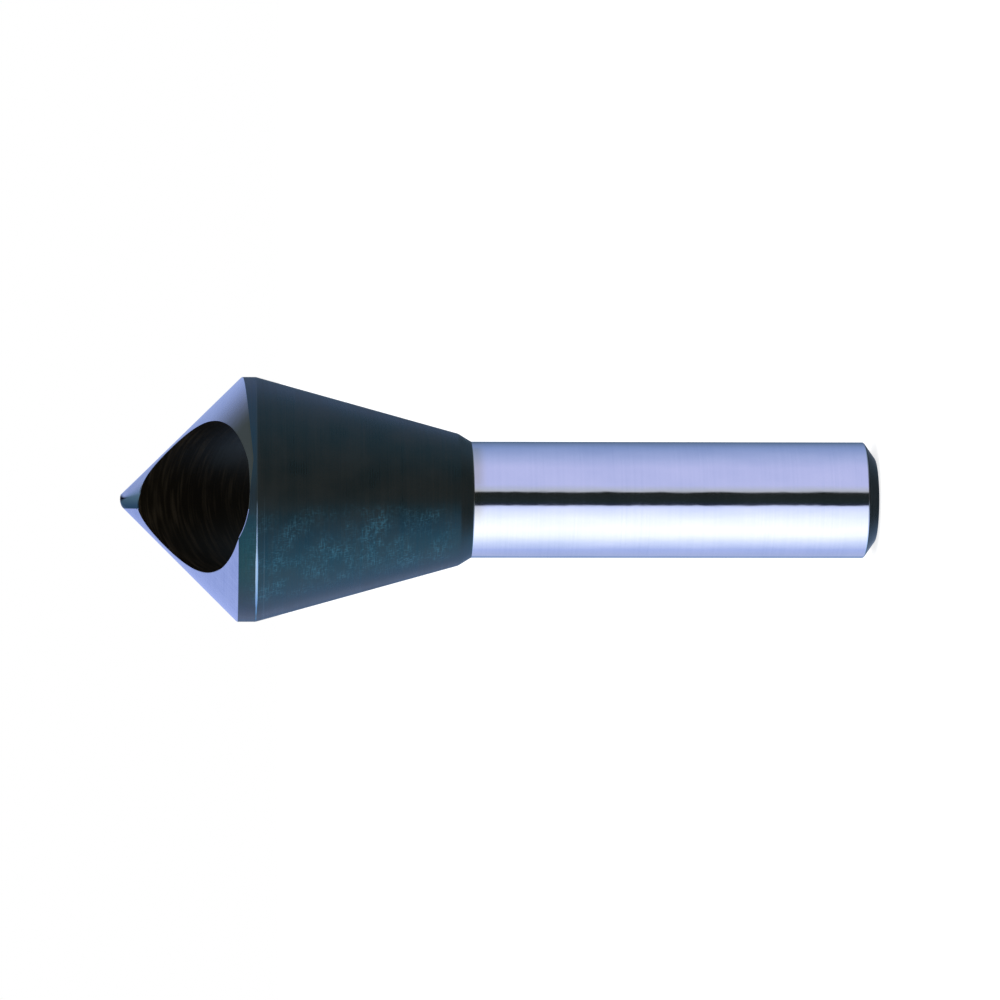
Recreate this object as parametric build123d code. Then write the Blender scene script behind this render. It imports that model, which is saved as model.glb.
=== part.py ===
"""Countersink and deburring bit with one oblique cross hole, for 90 degree countersinks.

One piece of tool steel. It stands on the end face of its shank with the point up:
the origin is the middle of that face and +Z runs along the tool to the point.
The mouth of the cross hole faces -Y, its cutting lip is on the -X side of the mouth
and the heel of the relieved cone on the +X side. Millimetres and degrees.
"""
from build123d import *
import math
import os

# ---- overall -------------------------------------------------------------------------
overall_length = 65.0
head_diameter = 21.0
shank_diameter = 10.0

# ---- shank ---------------------------------------------------------------------------
shank_length = 34.9             # end face to the neck
end_chamfer_length = 1.0        # along the shank
end_chamfer_depth = 1.4         # off the radius

# ---- head, measured from the point ---------------------------------------------------
neck_chamfer_length = 1.1       # steep short cone between the shank and the tapered back
neck_step = 0.68                # how far the small end of the taper stands proud of the shank
land_width = 1.6                # full-diameter land behind the cutting lip
cone_angle = 90.0               # included, at the cutting lip
point_blunting = 0.49           # what the blunt point loses of the sharp cone
point_radius = 1.3              # ball that rounds the point
point_collar = 0.3              # how far down the point the ball reaches

# ---- relief ground into the cone behind the lip ---------------------------------------
lip_angle = 24.0                # from the middle of the mouth round to the lip
heel_angle = 19.0               # from the middle of the mouth round to the heel
heel_drop = 1.25                # how far the cone has sunk at the heel, at the land
return_turn = 60.0              # how far it then takes to rise again to the lip's level
drop_share_at_axis = 0.45       # share of the drop that is left on the axis
drop_power = 4.6                # the cone sinks slowly at first and steeply near the heel
lip_offset = 0.8                # the lip lies this far off the axis

# ---- cross hole ----------------------------------------------------------------------
hole_diameter = 12.9
hole_tilt = 45.0                # between the hole and the tool axis
hole_crossing = 12.3            # from the point down to where the hole crosses the axis
hole_offset = 0.23              # off the axis, towards the heel
exit_chamfer = 0.25             # where the hole leaves the tapered back; the mouth stays sharp

# ---- what follows from them ----------------------------------------------------------
head_radius = head_diameter / 2
shank_radius = shank_diameter / 2
small_end_radius = shank_radius + neck_step
neck_z = shank_length
small_end_z = neck_z + neck_chamfer_length
cone_slope = 1 / math.tan(math.radians(cone_angle / 2))
sharp_point_z = overall_length + point_blunting
large_end_z = sharp_point_z - head_radius * cone_slope - land_width
mouth_direction = -90.0         # azimuth of the middle of the mouth
lip_direction = mouth_direction - lip_angle
full_turn = 360.0
quarter_turn = 90.0
relief_turn = full_turn - lip_angle - heel_angle

waste_inner_radius = 0.05       # the waste stops just short of the axis
waste_outer_radius = head_radius + 1.5
waste_height = 2 * head_radius
cam_step = 10.0                 # between the points that carry a cam curve
back_turn = 150.0               # the wheel's two passes meet here, behind the mouth


def turned_blank():
    """Shank, neck, tapered back and land, with the rounded point on top."""
    collar_radius = math.sqrt(point_radius**2 - (point_radius - point_collar) ** 2)
    collar_z = overall_length - point_collar
    with BuildPart() as blank:
        with BuildSketch(Plane.XZ):
            with BuildLine():
                outline = Polyline(
                    (0, 0),
                    (shank_radius - end_chamfer_depth, 0),
                    (shank_radius, end_chamfer_length),
                    (shank_radius, neck_z),
                    (small_end_radius, small_end_z),
                    (head_radius, large_end_z),
                    (head_radius, collar_z),
                    (collar_radius, collar_z),
                )
                ball = CenterArc(
                    (0, overall_length - point_radius),
                    point_radius,
                    math.degrees(math.asin((point_radius - point_collar) / point_radius)),
                    math.degrees(math.acos((point_radius - point_collar) / point_radius)),
                )
                Line(ball @ 1, outline @ 0)
            make_face()
        revolve(axis=Axis.Z)
    return blank.part


def cone_height(turned, radius):
    """Height of the ground cone, turned degrees behind the lip and radius off the axis."""
    sinking = heel_drop * max(turned / relief_turn, 0.0) ** drop_power
    if turned > relief_turn:
        sinking = heel_drop * max(1 - (turned - relief_turn) / return_turn, 0.0)
    share = drop_share_at_axis + (1 - drop_share_at_axis) * radius / head_radius
    return sharp_point_z - radius * cone_slope - sinking * share


def cam_curve(first, last, radius):
    """The ground cone's height all along a circle of the given radius."""
    steps = round((last - first) / cam_step)
    turns = [first + (last - first) * step / steps for step in range(steps + 1)]
    points = []
    for turned in turns:
        direction = math.radians(lip_direction - turned)
        x = radius * math.cos(direction)
        y = radius * math.sin(direction)
        points.append((x, y, cone_height(turned, radius)))
    return Edge.make_spline(points, parameters=turns)


def cam_waste(first, last):
    """What the grinding wheel takes off above the cone, from first to last degrees."""
    inner = cam_curve(first, last, waste_inner_radius)
    outer = cam_curve(first, last, waste_outer_radius)
    ground = Face.make_surface_from_curves(inner, outer)
    return extrude(ground, amount=waste_height, dir=(0, 0, 1))


def front_block(sign):
    """The space in front of the axis on one side of the step: -1 for the lip, +1 the heel."""
    size = 4 * head_radius
    return Pos(sign * size / 2 - lip_offset, -size / 2, overall_length) * Box(size, size, size)


def cross_hole():
    """Drill through the head, from the cone in front to the tapered back behind."""
    length = 4 * head_radius
    centre = Pos(hole_offset, 0, overall_length - hole_crossing)
    return centre * Rot(hole_tilt, 0, 0) * Cylinder(hole_diameter / 2, length)


def countersink_bit():
    """The blank with its cone ground, its step left in the mouth, and its hole drilled."""
    lip_pass = cam_waste(-lip_angle, back_turn) - front_block(1)
    heel_pass = cam_waste(back_turn, full_turn + quarter_turn - lip_angle) - front_block(-1)
    drilled = turned_blank() - lip_pass - heel_pass - cross_hole()
    bore = drilled.faces().filter_by(GeomType.CYLINDER).sort_by(Axis.Y)[-1]
    return chamfer(bore.edges().sort_by(Axis.Y)[-1], exit_chamfer)


os.makedirs("parts", exist_ok=True)
bit = countersink_bit()
bit.label = "countersink_bit"
export_step(bit, "parts/countersink_bit.step")
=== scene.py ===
"""Countersink bit: a blued head with a ground relieved cone and one oblique hole, on a ground shank.

The bit stands on the end face of its shank with the point up. The origin is the middle of
that face, +Z runs along the tool and the mouth of the cross hole faces -Y. Metres and radians.
"""

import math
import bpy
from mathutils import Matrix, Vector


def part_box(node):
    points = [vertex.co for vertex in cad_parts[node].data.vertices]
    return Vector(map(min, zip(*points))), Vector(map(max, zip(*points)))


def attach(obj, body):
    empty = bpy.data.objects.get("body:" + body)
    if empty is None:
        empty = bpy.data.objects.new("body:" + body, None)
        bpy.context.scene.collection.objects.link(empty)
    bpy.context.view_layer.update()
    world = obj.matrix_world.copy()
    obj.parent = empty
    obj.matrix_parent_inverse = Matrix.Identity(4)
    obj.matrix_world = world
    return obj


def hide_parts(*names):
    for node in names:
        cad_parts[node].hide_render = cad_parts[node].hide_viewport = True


bl_info = {
    "name": "Countersink bit",
    "version": (1, 0, 0),
    "blender": (4, 5, 0),
    "location": "3D View > Sidebar > Countersink",
    "description": "Makes a countersink bit with a relieved cone, its finishes and its stage",
    "category": "Object",
}

import bpy
from mathutils import Matrix, Vector

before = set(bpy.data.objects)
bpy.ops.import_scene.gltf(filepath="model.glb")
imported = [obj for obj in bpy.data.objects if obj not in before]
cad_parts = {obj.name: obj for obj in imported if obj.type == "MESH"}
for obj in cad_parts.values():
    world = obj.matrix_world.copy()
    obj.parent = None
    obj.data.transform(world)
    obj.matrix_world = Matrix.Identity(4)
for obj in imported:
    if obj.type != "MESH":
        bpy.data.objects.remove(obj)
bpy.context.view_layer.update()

NODE = "countersink_bit"
BODY = "root"
MM = 0.001
node_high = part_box(NODE)[1]

# ---- how finely the bit is meshed ------------------------------------------------------
STEPS_AROUND = 480              # round the tool's axis
INNER_RINGS = 10                # on the cone, between the axis and the lip's offset
BALL_SHARE = 0.64               # share of the ball's radius beyond which the cone lies below it
AXIS_FADE = 0.1 * MM            # the grinding fades out this close to the axis, so that columns meet
RING_GROWTH = 1.045             # how much wider each ring on the cone is than the last
RING_TURN = math.radians(3)     # most that one ring is turned against the last, beside the lip's root
LONGEST_STEP = 2.5 * MM         # between two rings on the straight runs
CORNER_STEPS = 4                # across a rounded edge
GUARD = 0.05 * MM               # ring beside a rounded edge, which keeps the face beyond it even
WELD = 0.0002 * MM              # points closer than this become one
HOLE_STEPS = 400                # round the cross hole
CUTTER_REACH = 1.5              # how far the hole's cutter reaches either way, in head diameters
CUTTER_RINGS = 8                # along the cutter, from end to end
RAY_LENGTH = 1.0                # longer than the cutter
CONE_MARGIN = 0.5 * MM          # the cone's points lie this close to the point's height in the outline
HEEL_BLEND = 0.1                # how softly the falling cone turns to rise, as a share of the drop
SHARP_ANGLE = math.radians(10)  # edges sharper than this are shaded sharp
NODE_SPACING = 180              # between two nodes, where a tree is shown


def length(name, description, default, **more):
    """A length that a user may change, in metres."""
    return bpy.props.FloatProperty(
        name=name, description=description, default=default, min=0, unit="LENGTH", precision=5, **more
    )


def angle(name, description, degrees):
    """An angle that a user may change."""
    return bpy.props.FloatProperty(
        name=name, description=description, default=math.radians(degrees), unit="ROTATION"
    )


def number(name, description, default):
    """A plain number that a user may change."""
    return bpy.props.FloatProperty(name=name, description=description, default=default)


def colour(name, description, red, green, blue):
    """A colour that a user may change."""
    return bpy.props.FloatVectorProperty(
        name=name, description=description, default=(red, green, blue),
        subtype="COLOR", size=3, min=0, max=1,
    )


class CountersinkSizes(bpy.types.PropertyGroup):
    """Lengths and angles of the bit."""

    overall_length: length("Overall length", "End face to point", node_high.z)
    head_diameter: length("Head diameter", "Across the land", 2 * node_high.x)
    shank_diameter: length("Shank diameter", "Across the plain shank", 10 * MM)
    shank_length: length("Shank length", "End face to the neck", 34.9 * MM)
    end_chamfer_length: length("End chamfer length", "Along the shank", 1.0 * MM)
    end_chamfer_depth: length("End chamfer depth", "Off the radius", 1.4 * MM)
    neck_chamfer_length: length("Neck chamfer length", "Short cone above the shank", 1.1 * MM)
    neck_step: length("Neck step", "Small end of the taper proud of the shank", 0.68 * MM)
    land_width: length("Land width", "Full-diameter land behind the lip", 1.6 * MM)
    cone_angle: angle("Cone angle", "Included angle at the lip", 90)
    point_blunting: length("Point blunting", "What the point loses of the sharp cone", 0.49 * MM)
    point_radius: length("Point radius", "Ball that rounds the point", 1.3 * MM)
    lip_angle: angle("Lip angle", "From the middle of the mouth round to the lip", 24)
    heel_angle: angle("Heel angle", "From the middle of the mouth round to the heel", 19)
    heel_drop: length("Heel drop", "How far the cone has sunk at the heel", 1.25 * MM)
    return_turn: angle("Return turn", "How far the cone takes to rise from the heel back to the lip", 60)
    drop_share: number("Drop share", "Share of the drop that is left on the axis", 0.45)
    drop_power: number("Drop power", "How late the cone sinks on its way to the heel", 4.6)
    lip_offset: length("Lip offset", "Step between heel and lip, off the axis", 0.8 * MM)
    hole_diameter: length("Hole diameter", "Across the cross hole", 12.9 * MM)
    hole_tilt: angle("Hole tilt", "Between the hole and the tool axis", 45)
    hole_crossing: length("Hole crossing", "From the point to where the hole meets the axis", 12.3 * MM)
    hole_offset: length("Hole offset", "Off the axis, towards the heel", 0.23 * MM)
    exit_chamfer: length("Exit chamfer", "Where the hole leaves the tapered back", 0.25 * MM)
    mouth_break: length("Mouth edge break", "Width of the broken edge round the mouth", 0.06 * MM)
    edge_break: length("Edge break", "Set-back of the rounded turned edges", 0.10 * MM)


class CountersinkFinish(bpy.types.PropertyGroup):
    """Colours of the bit's ground and blued faces."""

    ground_steel: colour("Ground steel", "Cylindrically ground shank", 0.60, 0.63, 0.67)
    ground_bright: colour("Ground steel, bright", "Its brighter marks", 0.69, 0.70, 0.72)
    # Colour of a painted reflection of the neck, on one side of the shank beside it
    neck_reflection: colour("Painted neck reflection", "Straw tint on the shank beside the neck", 0.53, 0.51, 0.42)
    cone_steel: colour("Cone steel", "Relief-ground cone", 0.50, 0.53, 0.59)
    cone_bright: colour("Cone steel, bright", "Its brighter scratches", 0.60, 0.62, 0.66)
    # The next three colours are painted reflections on the cone: dark over its front, bright beside the
    # lip, and dark against the step
    cone_dark_reflection: colour("Cone painted dark reflection", "Painted dark reflection on the cone's front", 0.095, 0.098, 0.058)
    tip_bright_reflection: colour("Tip painted reflection", "Painted bright reflection beside the lip at the point", 0.16, 0.25, 0.22)
    tip_dark_reflection: colour("Tip painted reflection, dark", "Painted dark reflection hard against the lip", 0.045, 0.095, 0.105)
    burnt: colour("Burnt point", "Oxide on the rounded point", 0.02, 0.025, 0.03)
    blued: colour("Blued steel", "Black oxide on the turned back", 0.015, 0.016, 0.015)
    blued_brown: colour("Blued steel, brown", "Its browner marks", 0.027, 0.020, 0.014)
    blued_gloss: colour("Blued gloss", "Tint of what the oxide reflects", 0.08, 0.80, 1.0)
    scuffed: colour("Scuffed blueing", "Rubbed strokes on the blued back", 0.045, 0.105, 0.140)
    # Worn steel along the land's edge, which also carries a painted highlight
    worn_edge_highlight: colour("Worn edge, painted highlight", "Steel that shows along the land's rubbed edge", 0.34, 0.46, 0.56)
    drilled: colour("Drilled steel", "Oxide in the hole", 0.006, 0.004, 0.0015)
    drilled_light: colour("Drilled steel, light", "Oxide on the drill's ridges", 0.034, 0.026, 0.016)
    drilled_pale: colour("Drilled steel, pale", "Paler patch on the hole's wall", 0.016, 0.021, 0.023)
    drilled_gloss: colour("Drilled gloss", "Tint of what the hole's oxide reflects", 0.9, 0.7, 0.4)
    floor: colour("Floor", "Pale floor under the bit", 0.50, 0.50, 0.50)


# ---- building node trees ---------------------------------------------------------------
class Weaver:
    """Adds nodes to one tree and links them."""

    def __init__(self, tree):
        self.tree = tree

    def add(self, kind, inputs=None, **settings):
        """One node with its settings made and its inputs fed."""
        node = self.tree.nodes.new(kind)
        node.location.x = NODE_SPACING * len(self.tree.nodes)
        for name, value in settings.items():
            setattr(node, name, value)
        for key, value in (inputs or {}).items():
            self.feed(node.inputs[key], value)
        return node

    def feed(self, socket, value):
        """Links an output, or sets a plain value."""
        if isinstance(value, bpy.types.NodeSocket):
            self.tree.links.new(value, socket)
        else:
            socket.default_value = value

    def math(self, operation, *values, clamp=False):
        """Result of one Math node."""
        node = self.add("ShaderNodeMath", operation=operation, use_clamp=clamp)
        for socket, value in zip(node.inputs, values):
            self.feed(socket, value)
        return node.outputs[0]

    def vector(self, x, y, z):
        """A vector from three values."""
        return self.add("ShaderNodeCombineXYZ", {"X": x, "Y": y, "Z": z}).outputs[0]

    def parts(self, vector):
        """The three values in a vector."""
        return self.add("ShaderNodeSeparateXYZ", {"Vector": vector}).outputs

    def remap(self, value, low, high, to_low=0.0, to_high=1.0, smooth=False):
        """A value moved from one range to another, and held there."""
        return self.add(
            "ShaderNodeMapRange",
            {0: value, 1: low, 2: high, 3: to_low, 4: to_high},
            interpolation_type="SMOOTHSTEP" if smooth else "LINEAR",
        ).outputs[0]

    def blend(self, first, share, second):
        """Two values added up, with this share of the first and the rest of the second."""
        return self.math("MULTIPLY_ADD", first, share, self.math("MULTIPLY", second, 1 - share))

    def noise(self, coordinates, x, y, z, detail):
        """Value of a noise texture with this many grains a metre along each axis."""
        scaled = self.add("ShaderNodeVectorMath", {0: coordinates, 1: (x, y, z)}, operation="MULTIPLY")
        return self.add(
            "ShaderNodeTexNoise", {"Vector": scaled.outputs[0], "Scale": 1.0, "Detail": detail}
        ).outputs[0]

    def ramp(self, turned, stops):
        """Colour at an angle in radians, from (degrees, colour) stops."""
        node = self.add("ShaderNodeValToRGB", {0: self.remap(turned, -math.pi, math.pi)})
        elements = node.color_ramp.elements
        while len(elements) < len(stops):
            elements.new(0.5)
        for element, (degrees, tint) in zip(elements, stops):
            element.position = (degrees + 180) / 360
            element.color = (*tint, 1)
        return node.outputs[0]

    def mix(self, factor, first, second):
        """Two colours mixed, each an output or a plain red, green and blue."""
        node = self.add("ShaderNodeMix", data_type="RGBA")
        self.feed(node.inputs["Factor"], factor)
        for name, tint in (("A", first), ("B", second)):
            self.feed(node.inputs[name], tint if isinstance(tint, bpy.types.NodeSocket) else (*tint, 1))
        return node.outputs["Result"]


# ---- the turned outline ----------------------------------------------------------------
def spaced(first, last, step):
    """Points from first, which is left out, to last, no further apart than step."""
    count = max(1, math.ceil((last - first).length / step))
    return [first.lerp(last, i / count) for i in range(1, count + 1)]


def rounded_corner(before, corner, after, set_back):
    """Points across a corner that is broken by set_back along each of its sides."""
    into = (before - corner).normalized()
    out = (after - corner).normalized()
    points = [corner + into * (set_back + GUARD)]
    for i in range(CORNER_STEPS + 1):
        t = i / CORNER_STEPS
        start = corner + into * set_back
        end = corner + out * set_back
        points.append(start.lerp(corner, t).lerp(corner.lerp(end, t), t))
    points.append(corner + out * (set_back + GUARD))
    return points


def cone_radii(first, limit):
    """Radii of the rings from the axis to limit, close together where the lip's line leaves the axis."""
    radii = [first * i / INNER_RINGS for i in range(INNER_RINGS + 1)]
    while radii[-1] < limit:
        turned = math.asin(first / radii[-1]) - RING_TURN
        by_turn = first / math.sin(turned) if turned > 0 else limit
        radii.append(min(by_turn, radii[-1] * RING_GROWTH, limit))
    return radii


def turned_outline(sizes):
    """The blank's outline from the point down to the end face, as (radius, edge drop, height)."""
    head = sizes.head_diameter / 2
    shank = sizes.shank_diameter / 2
    top = sizes.overall_length
    sharp_point = top + sizes.point_blunting
    slope = 1 / math.tan(sizes.cone_angle / 2)
    large_end = sharp_point - head * slope - sizes.land_width
    heel_top = sharp_point - head * slope - sizes.heel_drop
    small_end = Vector((shank + sizes.neck_step, 0, sizes.shank_length + sizes.neck_chamfer_length))
    edge = sizes.mouth_break
    ball = sizes.point_radius

    stations = []
    for radius in cone_radii(sizes.lip_offset, head - edge):
        sunk = ball - math.sqrt(ball**2 - radius**2) if radius < BALL_SHARE * ball else 0
        stations.append(Vector((radius, 0, top - sunk)))

    # The rim's upper point falls to the ground cone, and its lower one lies where that is lowest
    stations.append(Vector((head, edge, top)))
    stations.append(Vector((head, edge, heel_top - edge)))

    corners = [
        Vector((head, 0, large_end)),
        small_end,
        Vector((shank, 0, sizes.shank_length)),
        Vector((shank, 0, sizes.end_chamfer_length)),
        Vector((shank - sizes.end_chamfer_depth, 0, 0)),
    ]
    beyond = Vector((0, 0, 0))
    for i, corner in enumerate(corners):
        before = corners[i - 1] if i else Vector((head, 0, heel_top - edge))
        after = corners[i + 1] if i + 1 < len(corners) else beyond
        arc = rounded_corner(before, corner, after, sizes.edge_break)
        stations += spaced(stations[-1], arc[0], LONGEST_STEP) + arc[1:]
    return stations + spaced(stations[-1], beyond, LONGEST_STEP)


def outline_object(stations):
    """A loose object that holds the outline as a chain of edges."""
    mesh = bpy.data.meshes.new("turned_outline")
    edges = [(i, i + 1) for i in range(len(stations) - 1)]
    mesh.from_pydata([tuple(s) for s in stations], edges, [])
    made = bpy.data.objects.new("bit", mesh)
    bpy.context.scene.collection.objects.link(made)
    return made


# ---- the grinding rule, as geometry nodes ------------------------------------------------
TREE_SIZES = (
    "overall_length", "head_diameter", "cone_angle", "point_blunting", "lip_angle", "heel_angle",
    "heel_drop", "return_turn", "drop_share", "drop_power", "lip_offset", "hole_diameter", "hole_tilt",
    "hole_crossing", "hole_offset", "exit_chamfer", "mouth_break", "shank_length", "end_chamfer_length",
)
CONE, BACK, HOLE = 0, 1, 4      # regions of the surface are numbered in the order of FINISHES
MOUTH_DIRECTION = -math.pi / 2


def swept_grid(w, outline):
    """The outline carried round the axis: one column a step, and one more to close the step."""
    point = w.add("GeometryNodeInputPosition").outputs[0]
    station = w.add("GeometryNodeCaptureAttribute", domain="POINT")
    station.capture_items.new("VECTOR", "Station")
    w.feed(station.inputs["Geometry"], outline)
    w.feed(station.inputs["Station"], point)
    profile = w.add("GeometryNodeMeshToCurve", {"Mesh": station.outputs["Geometry"]})

    # Only the number of the path's points counts: each point of the grid is placed later
    line = w.add("GeometryNodeMeshLine", {"Count": STEPS_AROUND + 2, "Offset": (0, 0, 1)})
    index = w.add("GeometryNodeInputIndex").outputs[0]
    column = w.add("GeometryNodeCaptureAttribute", domain="POINT")
    column.capture_items.new("FLOAT", "Column")
    w.feed(column.inputs["Geometry"], line.outputs[0])
    w.feed(column.inputs["Column"], index)
    path = w.add("GeometryNodeMeshToCurve", {"Mesh": column.outputs["Geometry"]})

    grid = w.add("GeometryNodeCurveToMesh", {"Curve": path.outputs[0], "Profile Curve": profile.outputs[0]})

    # The last column lies where the first one does, and the faces up to it make the step
    not_last = w.math("LESS_THAN", column.outputs["Column"], STEPS_AROUND + 0.5)
    turn = w.math("DIVIDE", w.math("MULTIPLY", column.outputs["Column"], not_last), STEPS_AROUND)
    return grid.outputs[0], station.outputs["Station"], turn


def ground_position(w, size, station, turn):
    """Where a point of the outline goes: round the axis, and down to the ground cone."""
    radius, edge_drop, height = w.parts(station)
    head = w.math("MULTIPLY", size["head_diameter"], 0.5)

    # How far the point is turned behind the lip's edge, which lies off the axis
    past_lip = w.math("ARCSINE", w.math("MINIMUM", w.math("DIVIDE", size["lip_offset"], radius), 1.0))
    turned = w.math("SUBTRACT", w.math("MULTIPLY_ADD", turn, math.tau, past_lip), size["lip_angle"])
    relief_turn = w.math("SUBTRACT", w.math("SUBTRACT", math.tau, size["lip_angle"]), size["heel_angle"])

    # The cone sinks towards the heel and rises again past it, less near the axis
    falling = w.math("DIVIDE", w.math("MAXIMUM", turned, 0.0), relief_turn)
    falling = w.math("POWER", falling, size["drop_power"])
    rising = w.math("DIVIDE", w.math("SUBTRACT", relief_turn, turned), size["return_turn"])
    rising = w.math("MAXIMUM", w.math("ADD", rising, 1.0), 0.0)
    sunk = w.math("MULTIPLY", w.math("SMOOTH_MIN", falling, rising, HEEL_BLEND), size["heel_drop"])
    rest = w.math("SUBTRACT", 1.0, size["drop_share"])
    share = w.math("MULTIPLY_ADD", w.math("DIVIDE", radius, head), rest, size["drop_share"])
    share = w.math("MULTIPLY", share, w.remap(radius, 0.0, AXIS_FADE))
    sinking = w.math("MULTIPLY", sunk, share)

    # The outline keeps its height where that is below the ground cone
    slope = w.math("DIVIDE", 1.0, w.math("TANGENT", w.math("MULTIPLY", size["cone_angle"], 0.5)))
    cone = w.math("ADD", size["overall_length"], size["point_blunting"])
    cone = w.math("SUBTRACT", cone, w.math("MULTIPLY", radius, slope))
    cone = w.math("SUBTRACT", w.math("SUBTRACT", cone, sinking), edge_drop)
    direction = w.math("SUBTRACT", w.math("SUBTRACT", MOUTH_DIRECTION, size["lip_angle"]), turned)
    x = w.math("MULTIPLY", radius, w.math("COSINE", direction))
    y = w.math("MULTIPLY", radius, w.math("SINE", direction))
    return w.vector(x, y, w.math("MINIMUM", height, cone))


def hole_point(w, size, around, reach, along):
    """A point round the cross hole's axis, reach off it and along it towards the mouth."""
    across = w.math("MULTIPLY", reach, w.math("COSINE", around))
    up = w.math("MULTIPLY", reach, w.math("SINE", around))
    cosine = w.math("COSINE", size["hole_tilt"])
    sine = w.math("SINE", size["hole_tilt"])
    y = w.math("SUBTRACT", w.math("MULTIPLY", up, cosine), w.math("MULTIPLY", along, sine))
    z = w.math("ADD", w.math("MULTIPLY", up, sine), w.math("MULTIPLY", along, cosine))
    z = w.math("ADD", z, w.math("SUBTRACT", size["overall_length"], size["hole_crossing"]))
    return w.vector(w.math("ADD", across, size["hole_offset"]), y, z)


def rim_along(w, size, blank, around, reach, side, far):
    """How far along the hole's axis its wall meets the blank, on the mouth (1) or exit (-1) side."""
    start = hole_point(w, size, around, reach, w.math("MULTIPLY", far, side))
    y = w.math("MULTIPLY", w.math("SINE", size["hole_tilt"]), side)
    z = w.math("MULTIPLY", w.math("COSINE", size["hole_tilt"]), -side)
    ray = w.add("GeometryNodeRaycast", {
        "Target Geometry": blank,
        "Source Position": start,
        "Ray Direction": w.vector(0.0, y, z),
        "Ray Length": RAY_LENGTH,
    })
    return w.math("MULTIPLY", w.math("SUBTRACT", far, ray.outputs["Hit Distance"]), side)


def flare(w, size, blank, around, width, side, far):
    """Along and reach of the two rings that break the hole's edge on one side."""
    bore = w.math("MULTIPLY", size["hole_diameter"], 0.5)
    rim = rim_along(w, size, blank, around, bore, side, far)
    inner = w.math("SUBTRACT", rim, w.math("MULTIPLY", width, side))
    outer_reach = w.math("ADD", bore, width)
    outer = rim_along(w, size, blank, around, outer_reach, side, far)
    past = w.math("MULTIPLY_ADD", w.math("SUBTRACT", outer, inner), 0.5, outer)
    past_reach = w.math("MULTIPLY_ADD", width, 0.5, outer_reach)
    return (inner, bore), (past, past_reach)


def hole_cutter(w, size, blank):
    """The drill's space, flared a little where it breaks through, to take the edges off."""
    far = w.math("MULTIPLY", size["head_diameter"], CUTTER_REACH)

    # The grid's points are numbered ring by ring in each column, and the columns go round the hole
    grid = w.add("GeometryNodeMeshGrid", {"Vertices X": HOLE_STEPS + 1, "Vertices Y": CUTTER_RINGS})
    index = w.add("GeometryNodeInputIndex").outputs[0]
    column = w.math("FLOOR", w.math("DIVIDE", w.math("ADD", index, 0.5), CUTTER_RINGS))
    around = w.math("MULTIPLY", column, math.tau / HOLE_STEPS)
    counted = w.add("GeometryNodeCaptureAttribute", domain="POINT")
    counted.capture_items.new("FLOAT", "Ring")
    w.feed(counted.inputs["Geometry"], grid.outputs[0])
    w.feed(counted.inputs["Ring"], w.math("SUBTRACT", index, w.math("MULTIPLY", column, CUTTER_RINGS)))
    ring = counted.outputs["Ring"]
    mouth_inner, mouth_outer = flare(w, size, blank, around, size["mouth_break"], 1, far)
    exit_inner, exit_outer = flare(w, size, blank, around, size["exit_chamfer"], -1, far)
    back = w.math("MULTIPLY", far, -1.0)

    # Where each ring lies along the hole's axis, and how far off it
    chain = [
        (far, 0.0), (far, mouth_outer[1]), mouth_outer, mouth_inner,
        exit_inner, exit_outer, (back, exit_outer[1]), (back, 0.0),
    ]
    along, reach = (w.add("GeometryNodeIndexSwitch", data_type="FLOAT") for _ in range(2))
    for item, switch in enumerate((along, reach)):
        while len(switch.index_switch_items) < CUTTER_RINGS:
            switch.index_switch_items.new()
        w.feed(switch.inputs["Index"], w.math("ROUND", ring))
        for place, pair in enumerate(chain):
            w.feed(switch.inputs[place + 1], pair[item])
    position = hole_point(w, size, around, reach.outputs[0], along.outputs[0])

    # A face's ring is the mean of its corners': 2.5 on the mouth's flare and 4.5 on the exit's
    mouth_flare = w.math("COMPARE", ring, 2.5, 0.1)
    exit_flare = w.math("COMPARE", ring, 4.5, 0.1)
    region = w.math("SUBTRACT", HOLE, w.math("MULTIPLY", mouth_flare, HOLE - CONE))
    region = w.math("SUBTRACT", region, w.math("MULTIPLY", exit_flare, HOLE - BACK))
    marked = w.add(
        "GeometryNodeStoreNamedAttribute",
        {"Geometry": counted.outputs["Geometry"], "Name": "region", "Value": region},
        data_type="INT", domain="FACE",
    )
    moved = w.add("GeometryNodeSetPosition", {"Geometry": marked.outputs[0], "Position": position})
    welded = w.add("GeometryNodeMergeByDistance", {"Geometry": moved.outputs[0], "Distance": WELD})
    return w.add("GeometryNodeFlipFaces", {"Mesh": welded.outputs[0]}).outputs[0]


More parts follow.
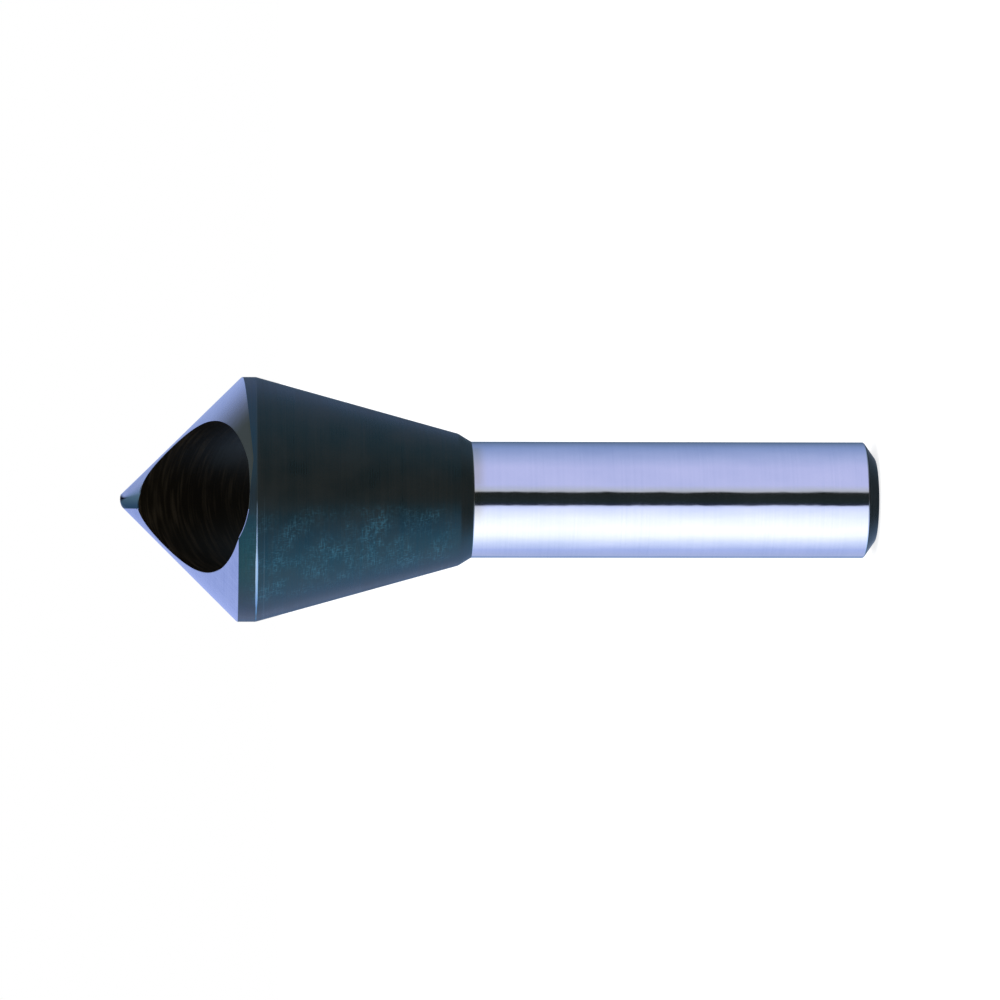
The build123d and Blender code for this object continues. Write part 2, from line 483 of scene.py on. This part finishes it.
def bit_tree(sizes):
    """The tree that turns the outline into the ground and drilled bit."""
    tree = bpy.data.node_groups.new("relieved_bit", "GeometryNodeTree")
    tree.is_modifier = True
    tree.interface.new_socket("Outline", in_out="INPUT", socket_type="NodeSocketGeometry")
    for name in TREE_SIZES:
        label = sizes.bl_rna.properties[name].name
        tree.interface.new_socket(label, in_out="INPUT", socket_type="NodeSocketFloat")
    for maker in FINISHES:
        tree.interface.new_socket(maker.__name__, in_out="INPUT", socket_type="NodeSocketMaterial")
    tree.interface.new_socket("Bit", in_out="OUTPUT", socket_type="NodeSocketGeometry")

    w = Weaver(tree)
    given = w.add("NodeGroupInput").outputs
    size = {name: given[1 + i] for i, name in enumerate(TREE_SIZES)}
    first_finish = 1 + len(TREE_SIZES)

    # A face is on the cone, and one region further for each of these heights that it lies below
    grid, station, turn = swept_grid(w, given[0])
    height = w.parts(station)[2]
    region = w.math("LESS_THAN", height, w.math("SUBTRACT", size["overall_length"], CONE_MARGIN))
    region = w.math("ADD", region, w.math("LESS_THAN", height, size["shank_length"]))
    region = w.math("ADD", region, w.math("LESS_THAN", height, size["end_chamfer_length"]))
    marked = w.add(
        "GeometryNodeStoreNamedAttribute", {"Geometry": grid, "Name": "region", "Value": region},
        data_type="INT", domain="FACE",
    )
    placed = w.add(
        "GeometryNodeSetPosition",
        {"Geometry": marked.outputs[0], "Position": ground_position(w, size, station, turn)},
    )
    welded = w.add("GeometryNodeMergeByDistance", {"Geometry": placed.outputs[0], "Distance": WELD})
    blank = w.add("GeometryNodeFlipFaces", {"Mesh": welded.outputs[0]})

    drilled = w.add("GeometryNodeMeshBoolean", operation="DIFFERENCE", solver="EXACT")
    w.feed(drilled.inputs[0], blank.outputs[0])
    w.feed(drilled.inputs[1], hole_cutter(w, size, blank.outputs[0]))

    # The cone's finish goes on everything first, and each other finish on its own region
    whole = w.add("GeometryNodeRealizeInstances", {"Geometry": drilled.outputs[0]}).outputs[0]
    stored = w.add("GeometryNodeInputNamedAttribute", {"Name": "region"}, data_type="INT")
    for place in range(len(FINISHES)):
        finish = given[first_finish + place]
        painted = w.add("GeometryNodeSetMaterial", {"Geometry": whole, "Material": finish})
        if place != CONE:
            chosen = w.add(
                "FunctionNodeCompare", {"A": stored.outputs[0], "B": place},
                data_type="INT", operation="EQUAL",
            )
            w.feed(painted.inputs["Selection"], chosen.outputs[0])
        whole = painted.outputs[0]
    w.add("NodeGroupOutput", {0: whole})
    return tree


def set_inputs(modifier, values):
    """Feeds a modifier's inputs by the name of each socket, through its identifier."""
    for item in modifier.node_group.interface.items_tree:
        if item.in_out == "INPUT" and item.name in values:
            modifier[item.identifier] = values[item.name]


def freeze(obj):
    """Turns what the object's modifiers make into its plain mesh."""
    graph = bpy.context.evaluated_depsgraph_get()
    mesh = bpy.data.meshes.new_from_object(obj.evaluated_get(graph), depsgraph=graph)
    obj.modifiers.clear()
    obj.data = mesh


# ---- finishes ----------------------------------------------------------------------------
WEAK, STRONG = 0.35, 0.65               # nearly all of a noise's values lie between these


def steel(name, tint, roughness):
    """A metal material, its weaver, its shader and the object's own coordinates."""
    material = bpy.data.materials.new(name)
    material.use_nodes = True
    w = Weaver(material.node_tree)
    shader = material.node_tree.nodes["Principled BSDF"]
    shader.inputs["Metallic"].default_value = 1.0
    shader.inputs["Base Color"].default_value = (*tint, 1)
    shader.inputs["Roughness"].default_value = roughness
    place = w.add("ShaderNodeTexCoord").outputs["Object"]
    return material, w, shader, place


def oxidised(name, tint, gloss, ior, roughness):
    """The same for steel under a layer of oxide, which is no metal and tints what it reflects."""
    material, w, shader, place = steel(name, tint, roughness)
    shader.inputs["Metallic"].default_value = 0.0
    shader.inputs["IOR"].default_value = ior
    shader.inputs["Specular Tint"].default_value = (*gloss, 1)
    return material, w, shader, place


def ringed(w, place, finest):
    """Marks that run round the tool, the finest about this many metres wide, from about 0 to 1."""
    fine = w.noise(place, 110, 110, 1 / finest, detail=2.0)
    coarse = w.noise(place, 60, 60, 0.17 / finest, detail=1.0)
    return w.blend(coarse, 0.4, fine)


def raised(w, shader, height, depth):
    """Feeds a height to the shader's normal, where 1 stands depth metres high."""
    bump = w.add("ShaderNodeBump", {"Height": height, "Distance": depth, "Strength": 1.0})
    w.feed(shader.inputs["Normal"], bump.outputs[0])


def band(w, value, low, high, soft):
    """1 between low and high, fading to 0 over soft on either side."""
    rise = w.remap(value, low - soft, low, smooth=True)
    fall = w.remap(value, high, high + soft, 1.0, 0.0, smooth=True)
    return w.math("MULTIPLY", rise, fall)


def side_angle(w, place):
    """Angle round the tool from the mouth, towards the heel side, in radians."""
    x, y = w.parts(place)[:2]
    return w.math("ARCTAN2", x, w.math("MULTIPLY", y, -1.0))


def facing(w, around, centre, sides):
    """1 at the centre angle and again on as many sides of the tool as given, -1 between them."""
    off_centre = w.math("SUBTRACT", around, centre)
    return w.math("COSINE", w.math("MULTIPLY", off_centre, sides))


def ground_shank(sizes, finish):
    """Cylindrically ground steel, with fine marks round it and a warm painted reflection of the neck on one
    side beside the neck.
    """
    reflection_begins = sizes.shank_length - 1.3 * MM
    reflection_full = sizes.shank_length - 0.2 * MM
    reflection_centre = math.radians(45)
    reflection_strength = 0.8
    waviness = 20.0                     # height of the clouds where that of the marks is 1
    smoothest, roughest = 0.05, 0.11
    mark_depth = 0.0012 * MM
    material, w, shader, place = steel("ground_shank", finish.ground_steel, roughness=0.08)
    marks = ringed(w, place, finest=0.05 * MM)
    clouds = w.noise(place, 420, 420, 160, detail=3.0)
    shade = w.remap(w.blend(clouds, 0.6, marks), WEAK, STRONG)

    # Painted reflection: a warm patch beside the neck, on one side of the shank, stands in for the neck's
    # reflection
    near_neck = w.remap(w.parts(place)[2], reflection_begins, reflection_full, smooth=True)
    one_side = w.remap(facing(w, side_angle(w, place), reflection_centre, sides=1), 0.2, 0.7, smooth=True)
    neck_reflection = w.math("MULTIPLY", w.math("MULTIPLY", near_neck, one_side), w.remap(clouds, WEAK, 0.5))
    tint = w.mix(shade, finish.ground_steel, finish.ground_bright)
    tint = w.mix(w.math("MULTIPLY", neck_reflection, reflection_strength), tint, finish.neck_reflection)
    w.feed(shader.inputs["Base Color"], tint)
    w.feed(shader.inputs["Roughness"], w.remap(shade, 0.0, 1.0, smoothest, roughest))
    raised(w, shader, w.math("MULTIPLY_ADD", clouds, waviness, marks), mark_depth)
    return material


def ground_cone(sizes, finish):
    """Relief-ground steel of the cone, scratched round, with a painted dark reflection between heel and lip
    and oxide on the point.
    """
    tip, rim = 1.3 * MM, 10 * MM                        # radii between which the painted reflection's edge runs
    edge_at_tip, edge_at_rim = math.radians(30), math.radians(56)
    softness_at_tip, softness_at_rim = math.radians(22), math.radians(20)
    back_begins, back_full = math.radians(-110), math.radians(-100)
    step_softness = 0.02 * MM                           # across the step between heel and lip
    dark_begins, dark_full = 0.4 * MM, -0.75 * MM       # across the tool, towards the lip, where the painted reflection darkens
    tip_ends, rest_begins = 2 * MM, 4 * MM              # radii of the tip's painted reflection and the rest
    burnt_begins, burnt_full = 0.6 * MM, 0.2 * MM       # radii, towards the point
    point_begins, point_full = 0.5 * MM, 0.2 * MM       # radii, where oxide covers the point all round
    smoothest, roughest, oxide_roughness = 0.15, 0.25, 0.15
    mark_depth = 0.003 * MM
    material, w, shader, place = steel("ground_cone", finish.cone_steel, roughness=0.2)
    x, y = w.parts(place)[:2]
    radius = w.math("SQRT", w.math("ADD", w.math("MULTIPLY", x, x), w.math("MULTIPLY", y, y)))
    around = side_angle(w, place)
    marks = ringed(w, place, finest=0.08 * MM)
    scratches = w.noise(place, 900, 2500, 700, detail=3.0)
    mixed = w.blend(scratches, 0.5, marks)
    shade = w.remap(mixed, WEAK, STRONG)
    bare = w.mix(shade, finish.cone_steel, finish.cone_bright)

    # The painted dark reflection fades towards the heel side, at a larger angle the further out it lies
    edge = w.remap(radius, tip, rim, edge_at_tip, edge_at_rim)
    softness = w.remap(radius, tip, rim, softness_at_tip, softness_at_rim)
    before_edge = w.math("DIVIDE", w.math("SUBTRACT", edge, around), softness)
    streaks = w.math("MULTIPLY_ADD", mixed, 0.5, -0.25)
    oxide = w.remap(w.math("ADD", before_edge, streaks), -1.0, 1.0, smooth=True)
    step = -sizes.lip_offset
    heel_side = w.remap(x, step - step_softness, step + step_softness)
    front = w.remap(around, back_begins, back_full)
    oxide = w.math("MULTIPLY", oxide, w.math("MULTIPLY", heel_side, front))

    # Painted reflection beside the lip, bright away from the step and dark against it, and a painted dark
    # reflection further out
    dark_reflection_near_step = w.remap(x, dark_begins, dark_full, smooth=True)
    left = w.mix(dark_reflection_near_step, finish.tip_bright_reflection, finish.tip_dark_reflection)
    left = w.mix(w.remap(radius, burnt_begins, burnt_full, smooth=True), left, finish.burnt)
    left = w.mix(w.remap(radius, tip_ends, rest_begins), left, finish.cone_dark_reflection)
    # The same mask also covers the point, whose dark colour is oxide; elsewhere the mask carries painted
    # reflection
    oxide = w.math("MAXIMUM", oxide, w.remap(radius, point_begins, point_full, smooth=True))
    w.feed(shader.inputs["Base Color"], w.mix(oxide, bare, left))
    rough = w.remap(shade, 0.0, 1.0, smoothest, roughest)
    w.feed(shader.inputs["Roughness"], w.math("MULTIPLY_ADD", oxide, oxide_roughness, rough))
    raised(w, shader, marks, mark_depth)
    return material


def blued(name, finish):
    """Black oxide over turning marks: the shared start of the two blued finishes."""
    smoothest, roughest = 0.22, 0.40
    mark_depth = 0.012 * MM
    material, w, shader, place = oxidised(name, finish.blued, finish.blued_gloss, ior=1.6, roughness=0.3)
    marks = ringed(w, place, finest=0.10 * MM)
    clouds = w.noise(place, 350, 350, 250, detail=2.0)
    shade = w.blend(clouds, 0.5, marks)
    tint = w.mix(w.remap(shade, 0.4, 0.6), finish.blued, finish.blued_brown)
    w.feed(shader.inputs["Roughness"], w.remap(shade, 0.3, 0.7, smoothest, roughest))
    raised(w, shader, marks, mark_depth)
    return material, w, shader, place, tint


def scuffs(w, place, sizes):
    """Short rubbed strokes, round and along, in two patches on either side of the tapered back."""
    patch_centre = math.radians(-32)
    patch_low = sizes.shank_length + 3 * MM
    patch_high = sizes.shank_length + 18 * MM
    patch_fade = 2 * MM
    across = w.remap(facing(w, side_angle(w, place), patch_centre, sides=2), 0.45, 0.9, smooth=True)
    patch = w.math("MULTIPLY", across, band(w, w.parts(place)[2], patch_low, patch_high, patch_fade))
    strokes_round = w.remap(w.noise(place, 1300, 1300, 9000, detail=2.0), 0.50, 0.70)
    strokes_along = w.remap(w.noise(place, 9000, 9000, 1200, detail=2.0), 0.50, 0.70)
    broken = w.remap(w.noise(place, 520, 520, 520, detail=3.0), 0.40, 0.66)
    rubbed = w.math("MULTIPLY", w.math("ADD", strokes_round, strokes_along), broken)
    return w.math("MULTIPLY", rubbed, patch, clamp=True)


def blued_back(sizes, finish):
    """Black oxide over the turned land and tapered back, rubbed bright along the land's edge, with a
    painted highlight that sets where that line is strongest.
    """
    land_edge = sizes.overall_length + sizes.point_blunting - sizes.head_diameter / 2 - sizes.land_width
    line_width = 0.12 * MM
    second_low, second_high = land_edge - 0.64 * MM, land_edge - 0.60 * MM
    second_softness = 0.05 * MM
    second_strength = 0.10
    highlight_centre = math.radians(-42)
    material, w, shader, place, tint = blued("blued_back", finish)
    height = w.parts(place)[2]
    # Painted highlight: the rubbed line, and the fainter second one, are strongest on two sides of the
    # tool, so they are partly wear and partly painted highlight
    patches = facing(w, side_angle(w, place), highlight_centre, sides=2)
    wear_and_highlight = w.remap(w.blend(w.noise(place, 400, 400, 400, detail=2.0), 0.5, patches), 0.3, 0.75)
    off_edge = w.math("ABSOLUTE", w.math("SUBTRACT", height, land_edge))
    off_edge = w.math("DIVIDE", off_edge, line_width)
    line = w.remap(w.math("SUBTRACT", wear_and_highlight, off_edge), -0.15, 0.35, smooth=True)
    second = band(w, height, second_low, second_high, second_softness)
    second = w.math("MULTIPLY", w.math("MULTIPLY", second, wear_and_highlight), second_strength)
    rubbed = w.math("MAXIMUM", line, second)
    tint = w.mix(scuffs(w, place, sizes), tint, finish.scuffed)
    w.feed(shader.inputs["Base Color"], w.mix(rubbed, tint, finish.worn_edge_highlight))
    w.feed(shader.inputs["Metallic"], rubbed)
    return material


def blued_end(sizes, finish):
    """Black oxide on the shank's end."""
    material, w, shader, _, tint = blued("blued_end", finish)
    w.feed(shader.inputs["Base Color"], tint)
    return material


def drilled_hole(sizes, finish):
    """Brown-black oxide over the curved marks of the drill, with a paler patch on the far wall."""
    patch_from, patch_to, turn_fade = math.radians(48), math.radians(60), math.radians(10)
    patch_low, patch_high, patch_fade = -2.2 * MM, 0.0 * MM, 1.2 * MM       # along the hole's axis
    mark_depth = 0.012 * MM
    material, w, shader, place = oxidised(
        "drilled_hole", finish.drilled, finish.drilled_gloss, ior=1.4, roughness=0.5
    )

    # The marks run round the hole's own axis
    x, y, z = w.parts(place)
    z = w.math("SUBTRACT", z, sizes.overall_length - sizes.hole_crossing)
    cosine, sine = math.cos(sizes.hole_tilt), math.sin(sizes.hole_tilt)
    along = w.math("SUBTRACT", w.math("MULTIPLY", z, cosine), w.math("MULTIPLY", y, sine))
    up = w.math("ADD", w.math("MULTIPLY", z, sine), w.math("MULTIPLY", y, cosine))
    drilled_place = w.vector(x, up, along)
    fine = w.noise(drilled_place, 250, 250, 5200, detail=2.0)
    coarse = w.noise(drilled_place, 350, 350, 2600, detail=1.0)
    marks = w.blend(coarse, 0.5, fine)
    tint = w.mix(w.remap(marks, 0.48, 0.66), finish.drilled, finish.drilled_light)

    across = band(w, w.math("ARCTAN2", up, x), patch_from, patch_to, turn_fade)
    patch = w.math("MULTIPLY", across, band(w, along, patch_low, patch_high, patch_fade))
    patch = w.math("MULTIPLY", patch, w.remap(marks, WEAK, 0.6, 0.6, 1.0))
    w.feed(shader.inputs["Base Color"], w.mix(patch, tint, finish.drilled_pale))
    raised(w, shader, marks, mark_depth)
    return material


FINISHES = (ground_cone, blued_back, ground_shank, blued_end, drilled_hole)


# ---- the stage -----------------------------------------------------------------------------
CAMERA_LENS = 184.2
CAMERA_SENSOR = 36
CAMERA_NEAR = 10 * MM                   # nothing closer is drawn
CAMERA_PLACE = Vector((0.498, -439.5, 58.84)) * MM
CAMERA_TURN = math.radians(3.445)       # how far it looks down the tool, towards the shank
CAMERA_PITCH = math.radians(-0.068)     # how far it looks towards the heel side
CAMERA_ROLL = math.radians(0.08)
FLOOR_HALF_WIDTH = 3.0
FLOOR_GAP = 0.01 * MM                   # under the bit's end face
FLOOR_ROUGHNESS = 0.9
FLOOR_GLOW = 0.75                       # seen by the camera only, so that the floor looks white
LAMP_PLACE = Vector((-0.5, -0.6, 0.9))  # it faces the origin
LAMP_WIDTH = 0.8
LAMP_POWER = 2.0
WHITE = (1, 1, 1, 1)
SOFT_STRENGTH = 0.9                     # light that the world gives to matt surfaces

# The studio as polished steel shows it, in degrees from the mouth towards the heel side:
# level with the tool, above it, and below it. The next three lines say at which heights of a
# reflected ray, from -1 straight down to 1 straight up, one gives way to the other.
LEVEL_TO_ABOVE = (0.0, 0.12)
LEVEL_TO_BELOW = (-0.17, -0.30)
BELOW_TO_DEEP = (-0.65, -0.88)
STUDIO_STRENGTH = 1.6
STUDIO_LEVEL = (
    (-180, (0.40, 0.45, 0.58)),
    (-163, (0.08, 0.17, 0.34)),
    (-148, (0.32, 0.37, 0.58)),
    (-118, (0.35, 0.42, 0.73)),
    (-95, (0.60, 0.67, 0.90)),
    (-75, (0.90, 0.94, 0.98)),
    (-60, (1.00, 1.00, 1.00)),
    (-40, (0.88, 0.92, 1.00)),
    (-16, (0.62, 0.67, 0.93)),
    (-13, (0.55, 0.60, 0.85)),
    (-9.9, (0.017, 0.022, 0.045)),
    (-4, (0.012, 0.018, 0.020)),
    (14.1, (0.012, 0.014, 0.013)),
    (16.8, (0.40, 0.41, 0.46)),
    (20, (0.41, 0.43, 0.54)),
    (30, (0.44, 0.46, 0.73)),
    (66, (0.43, 0.45, 0.72)),
    (90, (0.33, 0.38, 0.63)),
    (125, (0.20, 0.27, 0.49)),
    (150, (0.11, 0.16, 0.28)),
    (164, (0.05, 0.09, 0.14)),
    (180, (0.40, 0.45, 0.58)),
)
STUDIO_ABOVE = (
    (-90, (0.30, 0.37, 0.70)),
    (0, (0.30, 0.37, 0.68)),
    (30, (0.26, 0.32, 0.56)),
    (90, (0.24, 0.33, 0.62)),
)
STUDIO_BELOW = (
    (-180, (0.46, 0.50, 0.64)),
    (-165, (0.20, 0.27, 0.42)),
    (-150, (0.17, 0.27, 0.46)),
    (-125, (0.27, 0.43, 0.72)),
    (-100, (0.48, 0.65, 0.96)),
    (-70, (0.54, 0.68, 1.00)),
    (-45, (0.38, 0.46, 0.72)),
    (-15, (0.14, 0.17, 0.22)),
    (0, (0.030, 0.032, 0.034)),
    (28, (0.030, 0.032, 0.034)),
    (50, (0.070, 0.080, 0.095)),
    (82, (0.14, 0.17, 0.22)),
    (125, (0.12, 0.18, 0.26)),
    (150, (0.05, 0.09, 0.13)),
    (165, (0.10, 0.14, 0.20)),
    (180, (0.46, 0.50, 0.64)),
)
STUDIO_DEEP = (0.05, 0.055, 0.06)   # straight down


def make_camera():
    """The camera, rolled a quarter turn so that the tool lies across the view."""
    forward = Vector((
        math.sin(CAMERA_PITCH),
        math.cos(CAMERA_TURN) * math.cos(CAMERA_PITCH),
        -math.sin(CAMERA_TURN) * math.cos(CAMERA_PITCH),
    ))
    level_right = forward.cross(Vector((1, 0, 0))).normalized()
    level_up = level_right.cross(forward)
    right = level_right * math.cos(CAMERA_ROLL) + level_up * math.sin(CAMERA_ROLL)
    up = right.cross(forward)
    data = bpy.data.cameras.new("camera")
    data.lens = CAMERA_LENS
    data.sensor_width = CAMERA_SENSOR
    data.clip_start = CAMERA_NEAR
    camera = bpy.data.objects.new("camera", data)
    bpy.context.scene.collection.objects.link(camera)
    turn = Matrix((right, up, -forward)).transposed().to_4x4()
    camera.matrix_world = Matrix.Translation(CAMERA_PLACE) @ turn
    bpy.context.scene.camera = camera


def make_world():
    """White to the eye, soft and even on matt surfaces, and a studio's panels in polished ones."""
    world = bpy.data.worlds.new("studio")
    world.use_nodes = True
    bpy.context.scene.world = world
    w = Weaver(world.node_tree)
    x, y, z = w.parts(w.add("ShaderNodeTexCoord").outputs["Generated"])
    upward = w.math("MAXIMUM", z, 0.0)
    around = w.math("ARCTAN2", x, w.math("SUBTRACT", upward, y))
    level = w.ramp(around, STUDIO_LEVEL)
    above = w.ramp(w.math("ARCTAN2", x, upward), STUDIO_ABOVE)
    below = w.ramp(around, STUDIO_BELOW)
    below = w.mix(w.remap(z, *BELOW_TO_DEEP, smooth=True), below, STUDIO_DEEP)
    panels = w.mix(w.remap(z, *LEVEL_TO_ABOVE, smooth=True), level, above)
    panels = w.mix(w.remap(z, *LEVEL_TO_BELOW, smooth=True), panels, below)
    studio, soft, white = (
        w.add("ShaderNodeBackground", {"Color": tint, "Strength": strength}).outputs[0]
        for tint, strength in ((panels, STUDIO_STRENGTH), (WHITE, SOFT_STRENGTH), (WHITE, 1.0))
    )
    path = w.add("ShaderNodeLightPath").outputs
    lit = w.add("ShaderNodeMixShader", {0: path["Is Glossy Ray"], 1: soft, 2: studio})
    seen = w.add("ShaderNodeMixShader", {0: path["Is Camera Ray"], 1: lit.outputs[0], 2: white})
    w.feed(world.node_tree.nodes["World Output"].inputs["Surface"], seen.outputs[0])


def make_floor(tint):
    """A pale floor that looks white and keeps the tool's shadow."""
    corners = [
        (x * FLOOR_HALF_WIDTH, y * FLOOR_HALF_WIDTH, -FLOOR_GAP)
        for x, y in ((-1, -1), (1, -1), (1, 1), (-1, 1))
    ]
    mesh = bpy.data.meshes.new("floor")
    mesh.from_pydata(corners, [], [(0, 1, 2, 3)])
    floor = bpy.data.objects.new("floor", mesh)
    bpy.context.scene.collection.objects.link(floor)
    material = bpy.data.materials.new("pale_floor")
    material.use_nodes = True
    w = Weaver(material.node_tree)
    shader = material.node_tree.nodes["Principled BSDF"]
    shader.inputs["Base Color"].default_value = (*tint, 1)
    shader.inputs["Roughness"].default_value = FLOOR_ROUGHNESS
    shader.inputs["Emission Color"].default_value = WHITE
    seen = w.add("ShaderNodeLightPath").outputs["Is Camera Ray"]
    w.feed(shader.inputs["Emission Strength"], w.math("MULTIPLY", seen, FLOOR_GLOW))
    mesh.materials.append(material)
    floor.visible_glossy = False


def make_light():
    """One large soft lamp above the front."""
    data = bpy.data.lights.new("soft_lamp", "AREA")
    data.shape = "DISK"
    data.size = LAMP_WIDTH
    data.energy = LAMP_POWER
    lamp = bpy.data.objects.new("soft_lamp", data)
    bpy.context.scene.collection.objects.link(lamp)
    lamp.location = LAMP_PLACE
    lamp.rotation_euler = (-LAMP_PLACE).to_track_quat("-Z", "Y").to_euler()
    lamp.visible_glossy = False


# ---- operators -----------------------------------------------------------------------------
class COUNTERSINK_OT_make_bit(bpy.types.Operator):
    """Makes the bit, ground and drilled from its turned outline, with its finishes"""

    bl_idname = "countersink.make_bit"
    bl_label = "Make the bit"

    def execute(self, context):
        sizes = context.scene.countersink_sizes
        finish = context.scene.countersink_finish
        bit = outline_object(turned_outline(sizes))
        modifier = bit.modifiers.new("relieved_bit", "NODES")
        modifier.node_group = bit_tree(sizes)
        values = {sizes.bl_rna.properties[name].name: getattr(sizes, name) for name in TREE_SIZES}
        values.update((maker.__name__, maker(sizes, finish)) for maker in FINISHES)
        set_inputs(modifier, values)
        freeze(bit)
        if not bit.data.polygons:
            raise RuntimeError("the bit's tree made no faces")
        if bit.data.materials[0] is None:
            bit.data.materials.pop(index=0)     # the tree leaves its first slot empty
        bit.data.shade_smooth()
        bit.data.set_sharp_from_angle(angle=SHARP_ANGLE)
        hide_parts(NODE)
        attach(bit, BODY)
        return {"FINISHED"}


class COUNTERSINK_OT_make_stage(bpy.types.Operator):
    """Makes the camera, the studio's light and the pale floor"""

    bl_idname = "countersink.make_stage"
    bl_label = "Make the stage"

    def execute(self, context):
        make_camera()
        make_world()
        make_floor(context.scene.countersink_finish.floor)
        make_light()
        context.scene.view_settings.view_transform = "Standard"
        return {"FINISHED"}


class COUNTERSINK_PT_panel(bpy.types.Panel):
    """Sizes, finishes and the steps that make the bit"""

    bl_idname = "COUNTERSINK_PT_panel"
    bl_label = "Countersink bit"
    bl_space_type = "VIEW_3D"
    bl_region_type = "UI"
    bl_category = "Countersink"

    def draw(self, context):
        layout = self.layout
        for operator in OPERATORS:
            layout.operator(operator.bl_idname)
        for group in (context.scene.countersink_sizes, context.scene.countersink_finish):
            column = layout.column(align=True)
            for name in group.__annotations__:
                column.prop(group, name)


OPERATORS = (COUNTERSINK_OT_make_stage, COUNTERSINK_OT_make_bit)
CLASSES = (CountersinkSizes, CountersinkFinish, *OPERATORS, COUNTERSINK_PT_panel)


def register():
    for cls in CLASSES:
        bpy.utils.register_class(cls)
    bpy.types.Scene.countersink_sizes = bpy.props.PointerProperty(type=CountersinkSizes)
    bpy.types.Scene.countersink_finish = bpy.props.PointerProperty(type=CountersinkFinish)


def unregister():
    del bpy.types.Scene.countersink_finish
    del bpy.types.Scene.countersink_sizes
    for cls in reversed(CLASSES):
        bpy.utils.unregister_class(cls)


def main():
    """Makes the stage and the bit."""
    register()
    bpy.ops.countersink.make_stage()
    bpy.ops.countersink.make_bit()


if __name__ == "__main__":
    main()
